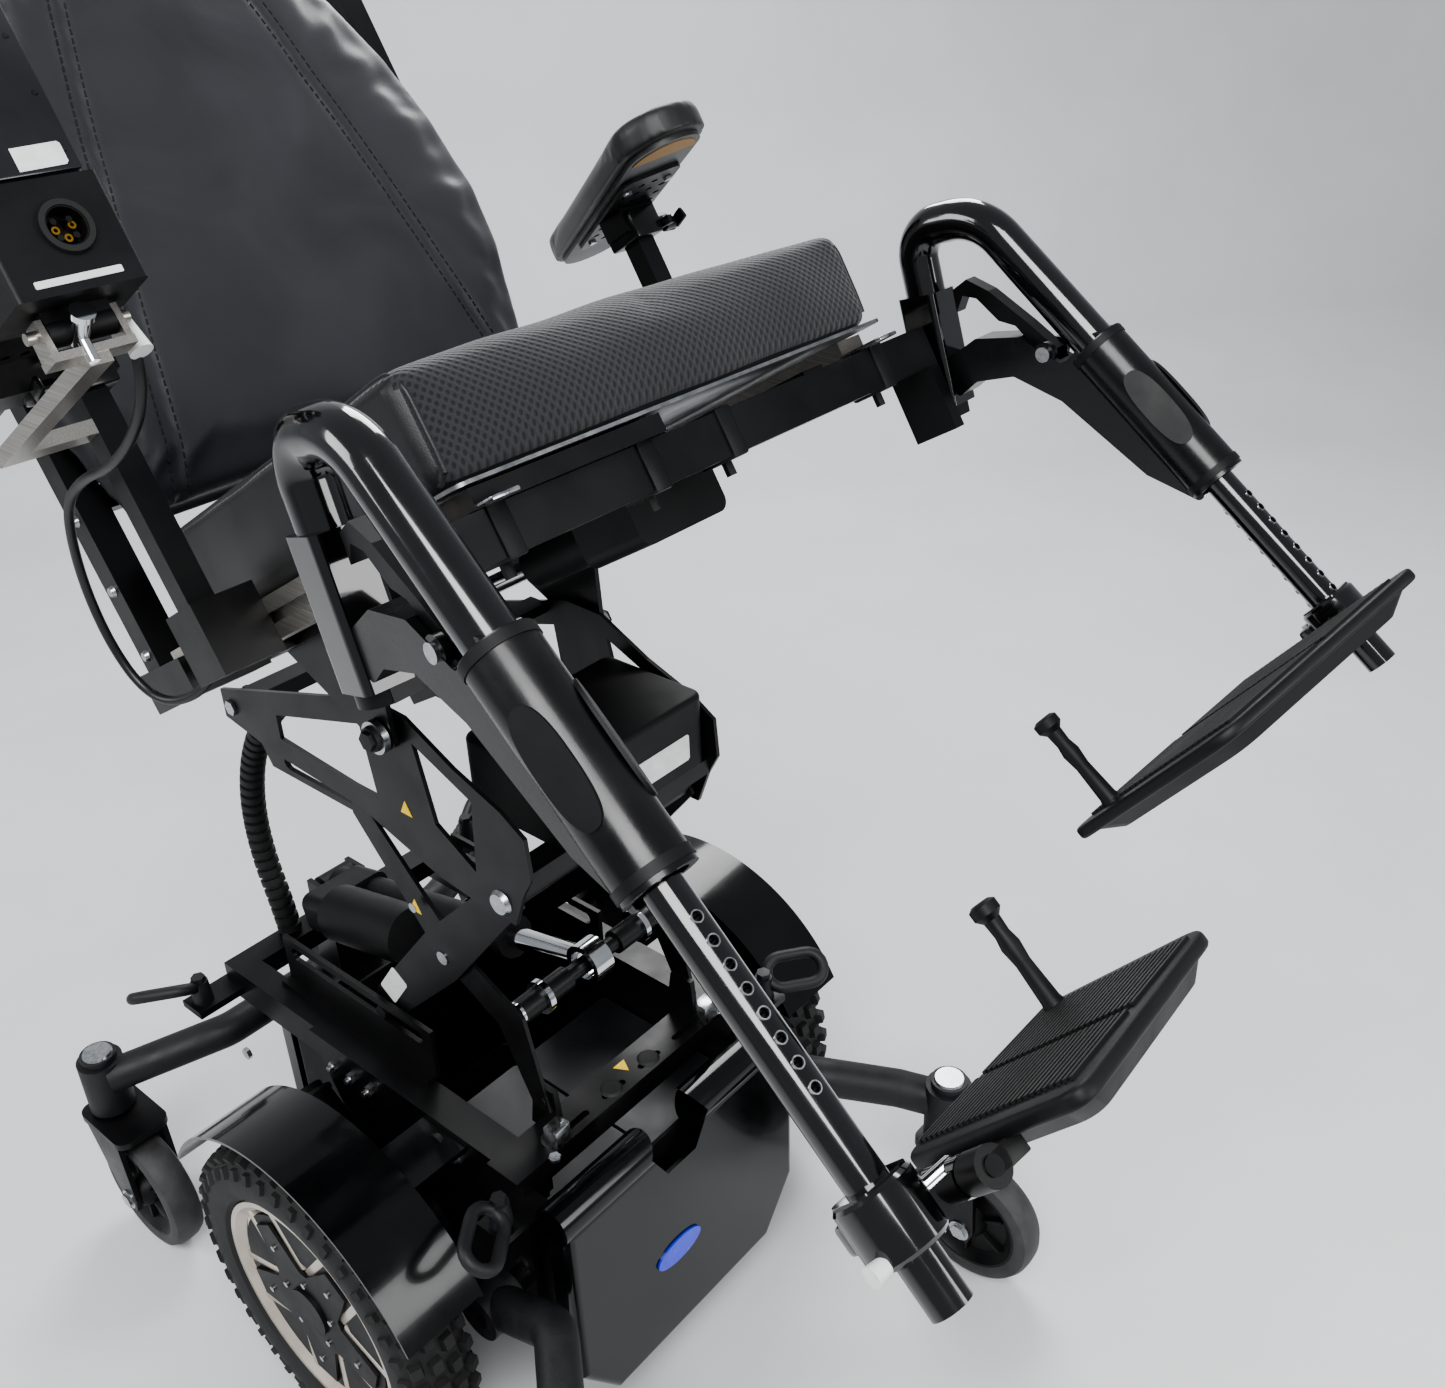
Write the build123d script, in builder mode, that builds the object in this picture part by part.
from build123d import *
from math import cos, hypot, pi, radians, sin, tan
import os

# Power wheelchair with a scissor seat lift, power tilt, reclining back and swing-away leg rests.
# Millimetres. The origin is on the floor, midway between the drive wheels and under their axle.
# +Z is up, the chair drives towards -Y, and +X is the sitter's left.

os.makedirs("parts", exist_ok=True)

# ---------------------------------------------------------------- driving dimensions

FIT = 0.08            # radial clearance of a pin in its hole
GAP = 0.5             # side clearance between plates that turn past each other
SOFT_GAP = 0.4        # clearance round foam and upholstery

WHEEL_R = 178.0       # 14 inch drive wheel
TYRE_W = 72.0
RIM_R = 122.0
WHEEL_X = 267.0       # middle of the drive tyre
AXLE_R = 12.0
BRAKE_Y = 80.0        # pin of the brake release lever, on the motor
BRAKE_Z = 192.0

CASTER_R = 76.0       # 6 inch caster wheel
CASTER_W = 38.0
CASTER_X = 270.0
CASTER_TRAIL = 41.0
FRONT_STEM_Y = -350.0
REAR_STEM_Y = 400.0
STEM_R = 10.0
STEM_TOP_Z = 246.0
ARM_ROOT_X = 194.0    # sprung arm of a front caster, at its pivot
ARM_PIVOT_Y = -150.0
ARM_PIVOT_Z = 208.0
FORK_CROWN_Z = 172.0  # top of the fork crown, under the stem housing

BOX_X = 140.0         # half width of the battery tray
BOX_FRONT_Y = -200.0
BOX_REAR_Y = 215.0
BOX_FLOOR_Z = 70.0
BOX_TOP_Z = 300.0
BOX_WALL = 4.0
COVER_X = 162.0       # half width of the gloss front cover
COVER_T = 4.0
ROLL_R = 20.0         # rolled top edge of the front cover

RAIL_X = 134.0        # middle of a chassis rail
RAIL_W = 28.0
RAIL_BOTTOM_Z = 305.0
RAIL_TOP_Z = 343.0
SLOT_PITCH = 50.0      # rack slots in the front cross plate
RAIL_FRONT_Y = -165.0
RAIL_REAR_Y = 310.0
BEAM_Z = 235.0        # pivot of the rocking caster beam

GUARD_R = 198.0       # mudguard
GUARD_T = 3.0
GUARD_IN_X = 226.0

LIFT_Y = -140.0       # fixed pivots of the scissor, base and top
LIFT_LOW_Z = 385.0
LIFT_RUN = 210.0      # fixed pivot to roller, along the chair
LIFT_RISE = 237.0     # base pivot to top pivot
INNER_ARM_X = 100.0   # middle of the inner arm plates
ARM_T = 4.0
OUTER_ARM_X = 107.0
FRAME_X = 115.0       # middle of the top frame's side plates
PIN_R = 7.0
KNEE_Y = -112.0       # shaft that the lift actuator pushes
KNEE_Z = 468.0
KNEE_R = 8.0
KNEE_SLACK = 6.8      # play of the rod eye round that shaft
ACTUATOR_Y = 300.0    # rear pivot of the lift actuator
ACTUATOR_Z = 368.0

TILT_ANGLE = 31.0     # set angle of the seat
SEAT_Y = -270.0       # front lower edge of the cushion
SEAT_Z = 1047.0
TILT_Y = -22.0        # tilt pivot on the top frame
TILT_Z = 744.0
TILT_PLATE_X = 123.0
TILT_MID = 22.5       # seat angle at which the tilt lever stands square to the actuator
TILT_ARM = 75.0
TILT_LEVER_Y = TILT_Y + TILT_ARM * sin(radians(TILT_MID))
TILT_LEVER_Z = TILT_Z + TILT_ARM * cos(radians(TILT_MID))
TILT_PIN_R = 6.0
TILT_SLACK = 4.6      # play of the tilt rod's eye round its pin

SEAT_HALF = 225.0
SEAT_DEPTH = 392.0
CUSHION_T = 82.0
PAN_T = 2.5
SIDE_RAIL_X = 222.0
SIDE_RAIL = 30.0
SIDE_RAIL_FRONT = 38.0
SIDE_RAIL_REAR = 402.0
CROSS_TUBE = 32.0

BACK_PIVOT_Y = 436.0  # recline pivot, seat frame
BACK_PIVOT_Z = -22.0
CANE = 25.0
CANE_X = 228.0
CANE_TOP = 520.0
BACK_BOTTOM = 92.0
BACK_TOP = 575.0
BACK_T = 46.0
BACK_PAN_T = 4.0

ARM_POST = 20.0
ARM_POST_X = 270.0
ARM_POST_Y = 250.0
ARM_PAD_Z = 198.0     # underside of the wooden pad base
ARM_PAD_L = 350.0
ARM_PAD_W = 84.0
ARM_BOARD_T = 9.0
ARM_PAD_T = 22.0
LEFT_PAD_TOE = 26.0
RIGHT_PAD_TOE = 0.0

LEG_X = 298.0         # swing post of a leg rest
POST_LEAN = 14.0
POST_R = 15.0
POST_LENGTH = 105.0
BEND_TUBE_R = 16.0
LEG_ANGLE = 35.0      # leg rest below its post
COLLAR_F = 144.0      # where the bent tube enters the cast shroud
COLLAR_H = -77.0
SHROUD_LENGTH = 135.0
LEG_TUBE_R = 11.1
LEFT_TUBE_END = 313.0
RIGHT_TUBE_END = 357.0
LEFT_SWING = 0.0      # set angle of each leg rest about its post, outwards
RIGHT_SWING = 7.0
FOOT_W = 205.0
FOOT_D = 150.0
FOOT_T = 9.0
FOOT_TOE = 20.0

REMOTE_X = -334.0
REMOTE_Y = 62.0
REMOTE_W = 76.0
REMOTE_H = 180.0
REMOTE_T = 44.0
REMOTE_BOTTOM = 172.0

SIDES = {"left": 1, "right": -1}
SEAT = Location(Plane(origin=(0, SEAT_Y, SEAT_Z), x_dir=(1, 0, 0),
                      z_dir=(0, sin(radians(TILT_ANGLE)), cos(radians(TILT_ANGLE)))))


def save(piece, name, place=Location()):
    """Put a finished piece in its place on the chair, label it and write it."""
    piece.part = piece.part.moved(place)
    piece.part.label = name
    export_step(piece.part, f"parts/{name}.step")


def seat_yz(y, z):
    """A point of the chair's side view, in the tilted seat frame."""
    dy = y - SEAT_Y
    dz = z - SEAT_Z
    tilt = radians(TILT_ANGLE)
    return (dy * cos(tilt) - dz * sin(tilt), dy * sin(tilt) + dz * cos(tilt))


def yz_plane(x):
    """A plane across the chair at x, whose sketch axes are the chair's Y and Z."""
    return Plane(origin=(x, 0, 0), x_dir=(0, 1, 0), z_dir=(1, 0, 0))


# ---------------------------------------------------------------- base

with BuildPart() as chassis:
    for side in (-1, 1):
        with Locations((side * RAIL_X, (RAIL_FRONT_Y + RAIL_REAR_Y) / 2, (RAIL_BOTTOM_Z + RAIL_TOP_Z) / 2)):
            Box(RAIL_W, RAIL_REAR_Y - RAIL_FRONT_Y, RAIL_TOP_Z - RAIL_BOTTOM_Z)
    for y in (RAIL_FRONT_Y + 15, RAIL_REAR_Y - 15):
        with Locations((0, y, RAIL_TOP_Z - 12)):
            Box(2 * RAIL_X, 30, 24)
    # front cross plate with four slots for a rack
    with BuildSketch(Plane.XY.offset(RAIL_TOP_Z)) as cross_plate:
        with Locations((0, RAIL_FRONT_Y + 18)):
            Rectangle(2 * COVER_X, 40)
        with Locations((0, RAIL_FRONT_Y + 10)):
            with GridLocations(SLOT_PITCH, 1, 4, 1):
                SlotOverall(30, 7, mode=Mode.SUBTRACT)
    extrude(amount=5)
    for side in (-1, 1):
        # ear of the scissor's fixed pivot
        with BuildSketch(yz_plane(side * (INNER_ARM_X - ARM_T / 2 - GAP - 3))):
            with BuildLine():
                Polyline((LIFT_Y - 18, RAIL_TOP_Z), (LIFT_Y + 22, RAIL_TOP_Z), (LIFT_Y + 13, LIFT_LOW_Z + 13),
                         (LIFT_Y - 13, LIFT_LOW_Z + 13), close=True)
            make_face()
        extrude(amount=3, both=True)
        with BuildSketch(yz_plane(side * INNER_ARM_X)):
            with Locations((LIFT_Y, LIFT_LOW_Z)):
                Circle(PIN_R)
        extrude(amount=ARM_T / 2 + GAP + 1, both=True)
        # slotted roller guide outside the outer arm
        guide_x = side * (OUTER_ARM_X + ARM_T / 2 + 6)
        with BuildSketch(yz_plane(guide_x)):
            with Locations((112, (RAIL_TOP_Z + LIFT_LOW_Z + 16) / 2)):
                Rectangle(236, LIFT_LOW_Z + 16 - RAIL_TOP_Z)
            with Locations((112, LIFT_LOW_Z)):
                SlotOverall(210, 2 * PIN_R + 1.2, mode=Mode.SUBTRACT)
        extrude(amount=2.5, both=True)
        with Locations((guide_x + side * 7, 112, RAIL_TOP_Z + 2)):
            Box(14, 236, 5)
        # motor hanger and suspension pivot plate
        with BuildSketch(yz_plane(side * (RAIL_X + RAIL_W / 2 + 3))):
            with BuildLine():
                Polyline((-165, 150), (60, 150), (95, 225), (150, RAIL_TOP_Z), (-165, RAIL_TOP_Z), close=True)
            make_face()
            with Locations((0, WHEEL_R)):
                Circle(43.4, mode=Mode.SUBTRACT)
        extrude(amount=3, both=True)
        with Locations((side * (RAIL_X + RAIL_W / 2 + 33), ARM_PIVOT_Y, ARM_PIVOT_Z)):
            Cylinder(12, 66, rotation=(0, 90, 0))
        # tie-down brackets
        for y in (-170, 296):
            with Locations((side * (RAIL_X + RAIL_W / 2 + 24), y, RAIL_TOP_Z - 22)):
                Box(58, 34, 8)
    # rear bearing of the rocking caster beam
    with Locations((0, RAIL_REAR_Y - 20, (RAIL_TOP_Z - 12 + BEAM_Z - 20) / 2)):
        Box(70, 40, RAIL_TOP_Z - 12 - BEAM_Z + 20)
    with Locations((0, RAIL_REAR_Y + 23, BEAM_Z)):
        Cylinder(15, 48, rotation=(90, 0, 0))
    # rear pivot ears of the lift actuator
    for side in (-1, 1):
        with Locations((side * 26, ACTUATOR_Y, (RAIL_TOP_Z - 20 + ACTUATOR_Z + 12) / 2)):
            Box(6, 30, ACTUATOR_Z + 32 - RAIL_TOP_Z)
    with Locations((0, ACTUATOR_Y, ACTUATOR_Z)):
        Cylinder(8, 58, rotation=(0, 90, 0))
save(chassis, "chassis")

with BuildPart() as battery_tray:
    with Locations((0, (BOX_FRONT_Y + BOX_REAR_Y) / 2, (BOX_FLOOR_Z + BOX_TOP_Z) / 2)):
        Box(2 * BOX_X, BOX_REAR_Y - BOX_FRONT_Y, BOX_TOP_Z - BOX_FLOOR_Z)
    fillet(battery_tray.edges().filter_by(Axis.Z), 14)
    fillet(battery_tray.faces().sort_by(Axis.Z)[0].edges(), 8)
    offset(amount=-BOX_WALL, openings=battery_tray.faces().sort_by(Axis.Z)[-1])
    for side in (-1, 1):
        with Locations((side * (BOX_X - 9), 0, (BOX_TOP_Z + RAIL_BOTTOM_Z) / 2)):
            Box(12, 330, RAIL_BOTTOM_Z - BOX_TOP_Z)
save(battery_tray, "battery_tray")

with BuildPart() as batteries:
    with GridLocations(134, 1, 2, 1):
        with Locations((0, -80, BOX_FLOOR_Z + BOX_WALL + 92.3)):
            Box(130, 196, 184)
    fillet(batteries.edges().filter_by(Axis.Z), 6)
save(batteries, "batteries")

with BuildPart() as front_cover:
    with BuildSketch(Plane.XZ.offset(-BOX_FRONT_Y + 1)):
        with BuildLine():
            Polyline((-COVER_X, 125), (-COVER_X + 45, 62), (COVER_X - 45, 62), (COVER_X, 125),
                     (COVER_X, 322), (-COVER_X, 322), close=True)
        make_face()
    extrude(amount=26)
    fillet(front_cover.faces().sort_by(Axis.Y)[0].edges(), 9)
    offset(amount=-COVER_T, openings=front_cover.faces().sort_by(Axis.Y)[-1])
    with Locations((0, BOX_FRONT_Y - 7, 322)):
        Cylinder(ROLL_R, 2 * COVER_X, rotation=(0, 90, 0))
    with Locations((0, BOX_FRONT_Y - 7, 322)):
        Cylinder(ROLL_R - COVER_T, 2 * COVER_X, rotation=(0, 90, 0), mode=Mode.SUBTRACT)
    with BuildSketch(Plane.XZ.offset(-BOX_FRONT_Y - 20)):
        with Locations((-12, 324)):
            RegularPolygon(40, 6)
    extrude(amount=60, mode=Mode.SUBTRACT)
save(front_cover, "front_cover")

with BuildPart() as rear_cover:
    with BuildSketch(Plane.XZ.offset(-BOX_REAR_Y - 1)):
        with BuildLine():
            Polyline((-BOX_X, 110), (-BOX_X + 40, 72), (BOX_X - 40, 72), (BOX_X, 110),
                     (BOX_X, 298), (-BOX_X, 298), close=True)
        make_face()
    extrude(amount=-22)
    fillet(rear_cover.faces().sort_by(Axis.Y)[-1].edges(), 7)
    offset(amount=-COVER_T, openings=rear_cover.faces().sort_by(Axis.Y)[0])
save(rear_cover, "rear_cover")

with BuildPart() as mudguards:
    for side in (-1, 1):
        with BuildSketch(Plane(origin=(0, 0, WHEEL_R), x_dir=(1, 0, 0), z_dir=(0, 1, 0))):
            with Locations((side * (GUARD_IN_X + 305) / 2, -GUARD_R)):
                Rectangle(305 - GUARD_IN_X, GUARD_T)
        revolve(axis=Axis((0, 0, WHEEL_R), (side, 0, 0)), revolution_arc=62)
        with BuildSketch(Plane(origin=(0, 0, WHEEL_R), x_dir=(1, 0, 0), z_dir=(0, 1, 0))):
            with Locations((side * (GUARD_IN_X + 305) / 2, -GUARD_R)):
                Rectangle(305 - GUARD_IN_X, GUARD_T)
        revolve(axis=Axis((0, 0, WHEEL_R), (-side, 0, 0)), revolution_arc=62)
        # inner cheek bolted to the chassis plate
        with BuildSketch(yz_plane(side * (GUARD_IN_X - 2))):
            with Locations((0, WHEEL_R)):
                Circle(GUARD_R + GUARD_T / 2)
                Circle(GUARD_R - 34, mode=Mode.SUBTRACT)
            with Locations((0, WHEEL_R - 108)):
                Rectangle(500, 400, mode=Mode.SUBTRACT)
        extrude(amount=2, both=True)
        with Locations((side * (RAIL_X + RAIL_W / 2 + 6 + GUARD_IN_X - 4) / 2, -60, RAIL_TOP_Z - 8)):
            Box(GUARD_IN_X - 4 - RAIL_X - RAIL_W / 2 - 6, 60, 6)
save(mudguards, "mudguards")

with BuildPart() as tie_down_loops:
    for side in (-1, 1):
        for y, turn in ((-170, 1), (296, -1)):
            loop = Plane(origin=(side * 196, y, RAIL_TOP_Z + 4), x_dir=(side * 0.8, -turn * 0.6, 0),
                         z_dir=(-side * 0.36, -turn * 0.48, 0.8))
            with BuildSketch(loop):
                with Locations((28, 0)):
                    SlotOverall(74, 46)
                    SlotOverall(48, 20, mode=Mode.SUBTRACT)
            extrude(amount=6, both=True)
            with Locations((side * 186, y, RAIL_TOP_Z - 5)):
                Cylinder(11, 26)
save(tie_down_loops, "tie_down_loops")

for name, side in SIDES.items():
    with BuildPart() as motor:
        with Locations((side * 190, 0, WHEEL_R)):
            Cylinder(42, 44, rotation=(0, 90, 0))
        fillet(motor.edges().filter_by(GeomType.CIRCLE), 5)
        with Locations((side * 160, 0, WHEEL_R)):
            Cylinder(43, 20, rotation=(0, 90, 0))
        # wheel axle
        with Locations((side * (212 + (WHEEL_X + 14 - 212) / 2), 0, WHEEL_R)):
            Cylinder(AXLE_R, WHEEL_X + 14 - 212, rotation=(0, 90, 0))
        lean = Plane(origin=(side * 188, 10, WHEEL_R + 8), x_dir=(1, 0, 0), z_dir=(0, cos(radians(35)), sin(radians(35))))
        with BuildSketch(lean):
            Circle(33)
        extrude(amount=150)
        with BuildSketch(lean.offset(150)):
            Circle(29)
        extrude(amount=12)
        with BuildSketch(yz_plane(side * 188)):
            with Locations((BRAKE_Y, BRAKE_Z)):
                Circle(7)
        extrude(amount=22, both=True)
    save(motor, f"motor_{name}")

    with BuildPart() as brake_lever:
        with BuildSketch(yz_plane(side * (188 + 22 + GAP))):
            with Locations((BRAKE_Y, BRAKE_Z)):
                Circle(9)
            with Locations((BRAKE_Y + 23, BRAKE_Z)):
                Rectangle(46, 8)
        extrude(amount=side * 4)
        with Locations((side * (188 + 22 + GAP + 5), BRAKE_Y + 48, BRAKE_Z)):
            Box(10, 16, 12)
    save(brake_lever, f"brake_lever_{name}")

    with BuildPart() as tyre:
        with BuildSketch(Plane.XZ):
            with Locations((0, (RIM_R + WHEEL_R) / 2)):
                RectangleRounded(TYRE_W, WHEEL_R - RIM_R, 20)
        revolve(axis=Axis.X)
    save(tyre, f"tyre_{name}", Location((side * WHEEL_X, 0, WHEEL_R)))

    with BuildPart() as rim:
        with BuildSketch(Plane.XZ):
            with Locations((0, RIM_R - 9)):
                Rectangle(TYRE_W - 14, 18 - 0.2)
        revolve(axis=Axis.X)
        with BuildSketch(yz_plane(side * 14)):
            Circle(RIM_R - 10)
            with PolarLocations(74, 5, 18):
                RegularPolygon(27, 3, rotation=180, mode=Mode.SUBTRACT)
            with PolarLocations(86, 5, 54):
                RegularPolygon(19, 3, mode=Mode.SUBTRACT)
        extrude(amount=side * 12)
        with Locations((side * 4, 0, 0)):
            Cylinder(36, 46, rotation=(0, 90, 0))
        with Locations((side * 4, 0, 0)):
            Cylinder(AXLE_R + FIT, 60, rotation=(0, 90, 0), mode=Mode.SUBTRACT)
        fillet(rim.faces().filter_by(Axis.X).sort_by(Axis.X)[-1 if side > 0 else 0].outer_wire().edges(), 4)
        with Locations((side * 26, 0, 0)):
            Cylinder(30, 10, rotation=(0, 90, 0))
    save(rim, f"rim_{name}", Location((side * WHEEL_X, 0, WHEEL_R)))

# ---------------------------------------------------------------- casters and their arms

HOUSING_H = STEM_TOP_Z - FORK_CROWN_Z - 8

for end, stem_y in (("front", FRONT_STEM_Y), ("rear", REAR_STEM_Y)):
    for name, side in SIDES.items():
        stem_x = side * CASTER_X
        wheel_y = stem_y - CASTER_TRAIL
        with BuildPart() as fork:
            with BuildSketch(Plane.XY.offset(FORK_CROWN_Z - 8)):
                with Locations((stem_x, stem_y - CASTER_TRAIL / 2)):
                    RectangleRounded(CASTER_W + 24, CASTER_TRAIL + 50, 14)
            extrude(amount=8)
            for cheek in (-1, 1):
                with BuildSketch(yz_plane(stem_x + cheek * (CASTER_W / 2 + 7))):
                    with BuildLine():
                        Polyline((stem_y + 14, FORK_CROWN_Z - 8), (stem_y - 52, FORK_CROWN_Z - 8),
                                 (wheel_y - 16, CASTER_R + 4), (wheel_y - 10, CASTER_R - 14),
                                 (wheel_y + 10, CASTER_R - 14), (wheel_y + 18, CASTER_R + 4), close=True)
                    make_face()
                extrude(amount=3, both=True)
            with Locations((stem_x, wheel_y, CASTER_R)):
                Cylinder(6, CASTER_W + 26, rotation=(0, 90, 0))
            with Locations((stem_x, stem_y, (STEM_TOP_Z + FORK_CROWN_Z) / 2 - 2)):
                Cylinder(STEM_R, STEM_TOP_Z - FORK_CROWN_Z - 4)
        save(fork, f"{end}_fork_{name}")

        with BuildPart() as caster:
            with BuildSketch(Plane.XZ):
                with Locations((0, CASTER_R / 2 + 3 + FIT / 2)):
                    Rectangle(CASTER_W - 6, CASTER_R - 6 - FIT)
            revolve(axis=Axis.X)
            fillet(caster.edges().filter_by(GeomType.CIRCLE).sort_by(SortBy.RADIUS)[-2:], 12)
            for face in (-1, 1):
                with BuildSketch(yz_plane(face * (CASTER_W / 2 - 3))):
                    Circle(44)
                    Circle(18, mode=Mode.SUBTRACT)
                extrude(amount=-face * 8, mode=Mode.SUBTRACT)
            with BuildSketch(yz_plane(0)):
                Circle(16)
                Circle(6 + FIT, mode=Mode.SUBTRACT)
            extrude(amount=CASTER_W / 2 + 3, both=True)
        save(caster, f"{end}_caster_{name}", Location((stem_x, wheel_y, CASTER_R)))

for name, side in SIDES.items():
    with BuildPart() as front_arm:
        with BuildLine() as arm_path:
            FilletPolyline((side * ARM_ROOT_X, ARM_PIVOT_Y, ARM_PIVOT_Z), (side * ARM_ROOT_X, -236, 244), (side * 250, -300, 222),
                           (side * CASTER_X, FRONT_STEM_Y + 14, 214), radius=26)
        with BuildSketch(Plane(origin=arm_path.line @ 0, z_dir=arm_path.line % 0)):
            Circle(20)
        sweep()
        with Locations((side * ARM_ROOT_X, ARM_PIVOT_Y, ARM_PIVOT_Z)):
            Cylinder(25, 40, rotation=(0, 90, 0))
        with Locations((side * CASTER_X, FRONT_STEM_Y, FORK_CROWN_Z + 4 + HOUSING_H / 2)):
            Cylinder(24, HOUSING_H)
        with Locations((side * CASTER_X, FRONT_STEM_Y, STEM_TOP_Z)):
            Cylinder(19, 8)
        with Locations((side * CASTER_X, FRONT_STEM_Y, FORK_CROWN_Z)):
            Cylinder(STEM_R + FIT, 2 * (STEM_TOP_Z - FORK_CROWN_Z) - 6, mode=Mode.SUBTRACT)
        with Locations((side * ARM_ROOT_X, ARM_PIVOT_Y, ARM_PIVOT_Z)):
            Cylinder(12 + FIT, 100, rotation=(0, 90, 0), mode=Mode.SUBTRACT)
    save(front_arm, f"front_arm_{name}")

with BuildPart() as rear_beam:
    with BuildLine() as beam_path:
        FilletPolyline((-CASTER_X, REAR_STEM_Y - 12, 222), (-150, RAIL_REAR_Y + 24, BEAM_Z),
                       (150, RAIL_REAR_Y + 24, BEAM_Z), (CASTER_X, REAR_STEM_Y - 12, 222), radius=40)
    with BuildSketch(Plane(origin=beam_path.line @ 0, z_dir=beam_path.line % 0)):
        Circle(19)
    sweep()
    with Locations((0, RAIL_REAR_Y + 24, BEAM_Z)):
        Cylinder(27, 42, rotation=(90, 0, 0))
    for side in (-1, 1):
        with Locations((side * CASTER_X, REAR_STEM_Y, FORK_CROWN_Z + 4 + HOUSING_H / 2)):
            Cylinder(24, HOUSING_H)
        with Locations((side * CASTER_X, REAR_STEM_Y, STEM_TOP_Z)):
            Cylinder(19, 8)
        with Locations((side * CASTER_X, REAR_STEM_Y, FORK_CROWN_Z)):
            Cylinder(STEM_R + FIT, 2 * (STEM_TOP_Z - FORK_CROWN_Z) - 6, mode=Mode.SUBTRACT)
    with Locations((0, RAIL_REAR_Y + 24, BEAM_Z)):
        Cylinder(15 + FIT, 80, rotation=(90, 0, 0), mode=Mode.SUBTRACT)
save(rear_beam, "rear_beam")

# ---------------------------------------------------------------- seat lift

TOP_Z = LIFT_LOW_Z + LIFT_RISE
ROLLER_Y = LIFT_Y + LIFT_RUN
CROSS_Y = LIFT_Y + LIFT_RUN / 2
CROSS_Z = LIFT_LOW_Z + LIFT_RISE / 2

with BuildPart() as lift_links:
    for side in (-1, 1):
        with BuildSketch(yz_plane(side * INNER_ARM_X)):
            with BuildLine():
                Polyline((LIFT_Y - 11, LIFT_LOW_Z - 9), (LIFT_Y + 10, LIFT_LOW_Z - 10), (KNEE_Y + 18, KNEE_Z - 16),
                         (CROSS_Y + 14, CROSS_Z - 12), (ROLLER_Y + 8, TOP_Z - 10), (ROLLER_Y + 6, TOP_Z + 11),
                         (ROLLER_Y - 10, TOP_Z + 8), (CROSS_Y - 16, CROSS_Z + 12), (KNEE_Y - 16, KNEE_Z + 8),
                         close=True)
            make_face()
            with Locations((LIFT_Y, LIFT_LOW_Z), (CROSS_Y, CROSS_Z)):
                Circle(PIN_R + FIT, mode=Mode.SUBTRACT)
        extrude(amount=ARM_T / 2, both=True)
        # top roller pin, pointing inwards into the slotted rail of the top frame
        with BuildSketch(yz_plane(side * (INNER_ARM_X - ARM_T / 2))):
            with Locations((ROLLER_Y, TOP_Z)):
                Circle(PIN_R)
        extrude(amount=-side * 10)
    with Locations((0, KNEE_Y, KNEE_Z)):
        Cylinder(KNEE_R, 2 * INNER_ARM_X, rotation=(0, 90, 0))
    for side in (-1, 1):
        with Locations((side * 62, KNEE_Y, KNEE_Z)):
            Cylinder(KNEE_R + 4, 60, rotation=(0, 90, 0))
save(lift_links, "lift_links")

with BuildPart() as lift_arms:
    for side in (-1, 1):
        with BuildSketch(yz_plane(side * OUTER_ARM_X)):
            with BuildLine():
                Polyline((LIFT_Y - 15, TOP_Z - 6), (LIFT_Y - 2, TOP_Z + 16), (LIFT_Y + 18, TOP_Z + 8),
                         (CROSS_Y + 18, CROSS_Z + 22), (ROLLER_Y + 12, LIFT_LOW_Z + 20),
                         (ROLLER_Y + 12, LIFT_LOW_Z - 12), (ROLLER_Y - 10, LIFT_LOW_Z - 10),
                         (CROSS_Y - 14, CROSS_Z - 20), close=True)
            make_face()
            with Locations((LIFT_Y, TOP_Z)):
                Circle(PIN_R + FIT, mode=Mode.SUBTRACT)
        extrude(amount=ARM_T / 2, both=True)
        # centre pivot pin, reaching through the inner arm
        with BuildSketch(yz_plane(side * OUTER_ARM_X)):
            with Locations((CROSS_Y, CROSS_Z)):
                Circle(PIN_R)
        extrude(amount=-side * 10)
        # roller pin in the base guide
        with BuildSketch(yz_plane(side * OUTER_ARM_X)):
            with Locations((ROLLER_Y, LIFT_LOW_Z)):
                Circle(PIN_R)
        extrude(amount=side * 11)
    # tube between the two plates, round the top pivot
    with Locations((0, LIFT_Y, TOP_Z)):
        Cylinder(PIN_R + 4, 2 * OUTER_ARM_X - ARM_T, rotation=(0, 90, 0))
save(lift_arms, "lift_arms")

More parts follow.
